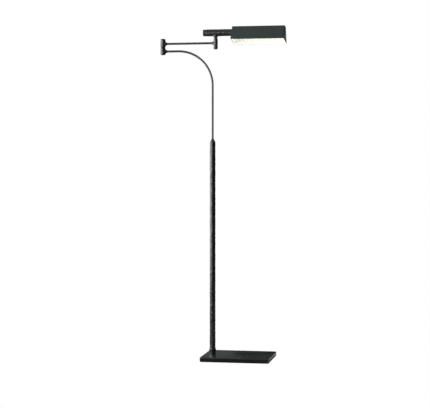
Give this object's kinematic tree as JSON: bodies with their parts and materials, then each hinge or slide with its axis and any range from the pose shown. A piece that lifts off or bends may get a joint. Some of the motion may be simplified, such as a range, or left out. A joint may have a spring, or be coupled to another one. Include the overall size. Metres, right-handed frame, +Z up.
{
  "type": "pharmacy floor lamp",
  "caption": "Floor lamp with a plate base, hammered post, bent telescopic column, folding swing arm and a turning trough shade.",
  "frame": {"origin": "on the floor, under the middle of the base plate", "axes": "+Z up along the post, +X along the base from the post towards the shade, +Y to the back, where the cord gland is"},
  "size_m": [0.5576, 0.2558, 1.4649],
  "materials": {
    "hammered_iron": "hammered black-brown iron finish, satin",
    "smooth_iron": "smooth blackened steel, satin",
    "base_iron": "powder-coated black, satin",
    "shade_enamel": "satin black outside, gloss white inside",
    "zinc_steel": "zinc plated, satin",
    "brass": "plain turned brass",
    "nylon": "natural nylon",
    "fibre": "red fibre washer",
    "felt": "black felt",
    "rubber": "black rubber",
    "porcelain": "white glazed porcelain",
    "frosted_glass": "frosted inside",
    "plastic": "moulded black plastic",
    "lead_jacket": "smooth lead jacket"
  },
  "bodies": {
    "stand": {"floor_pad": "felt", "base_plate": "base_iron", "cord_gland": "rubber", "tie_washer": "zinc_steel", "tie_nut": "zinc_steel", "tie_nipple": "zinc_steel", "post_foot_plug": "zinc_steel", "foot_collar": "hammered_iron", "post_tube": "hammered_iron", "collet_body": "brass", "column_bush": "nylon"},
    "collet": {"collet_nut": "hammered_iron"},
    "column_guide": {"rod_guide": "nylon"},
    "column": {"guide_clip_lower": "zinc_steel", "guide_clip_upper": "zinc_steel", "column_rod": "smooth_iron", "column_lead": "lead_jacket", "elbow_lower_knuckle": "hammered_iron", "elbow_friction_washer": "fibre", "elbow_pivot": "zinc_steel", "elbow_pivot_nut": "zinc_steel", "elbow_bottom_cap": "hammered_iron"},
    "upper_arm": {"elbow_upper_knuckle": "hammered_iron", "elbow_spring_washer": "zinc_steel", "elbow_top_cap": "hammered_iron", "upper_arm_tube": "smooth_iron", "upper_arm_lead": "lead_jacket", "tee_knuckle": "hammered_iron", "tee_bottom_cap": "hammered_iron", "tee_friction_washer": "fibre"},
    "head": {"handle_saddle": "hammered_iron", "head_pivot": "zinc_steel", "head_pivot_nut": "zinc_steel", "saddle_nut": "zinc_steel", "handle_tube": "hammered_iron", "switch_disc": "zinc_steel", "dimmer_switch": "plastic", "holder_disc": "zinc_steel", "holder_nut": "zinc_steel", "holder_nipple": "zinc_steel", "handle_lead": "lead_jacket", "lampholder": "porcelain", "bulb_cap": "brass", "bulb_glass": "frosted_glass", "shade_lock_nut": "zinc_steel"},
    "shade": {"shade_outer_washer": "fibre", "shade_shell": "shade_enamel", "shade_end_near": "shade_enamel", "shade_end_far": "shade_enamel", "shade_inner_washer": "fibre"},
    "knob": {"dimmer_shaft": "zinc_steel", "dimmer_knob": "hammered_iron"}
  },
  "joints": [
    {"name": "collet_turn", "type": "hinge", "parent": "stand", "child": "collet", "pos_m": [-0.1167, 0, 0.96], "axis": [0, 0, 1], "range_deg": [0, 180]},
    {"name": "column_slide", "type": "slide", "parent": "stand", "child": "column_guide", "axis": [0, 0, 1], "range_m": [-0.22, 0.08]},
    {"name": "column_turn", "type": "hinge", "parent": "column_guide", "child": "column", "pos_m": [-0.1167, 0, 0.9], "axis": [0, 0, 1], "range_deg": [-170, 170]},
    {"name": "elbow_swing", "type": "hinge", "parent": "column", "child": "upper_arm", "pos_m": [-0.3404, 0, 1.3766], "axis": [0, 0, 1], "range_deg": [-165, 165]},
    {"name": "head_swing", "type": "hinge", "parent": "upper_arm", "child": "head", "pos_m": [-0.1031, 0, 1.41], "axis": [0, 0, 1], "range_deg": [-130, 130]},
    {"name": "shade_turn", "type": "hinge", "parent": "head", "child": "shade", "pos_m": [-0.0277, 0, 1.4388], "axis": [1, 0, 0], "range_deg": [-82.5, 97.5]},
    {"name": "knob_turn", "type": "hinge", "parent": "head", "child": "knob", "pos_m": [-0.15, 0, 1.4388], "axis": [1, 0, 0], "range_deg": [0, 270]}
  ]
}
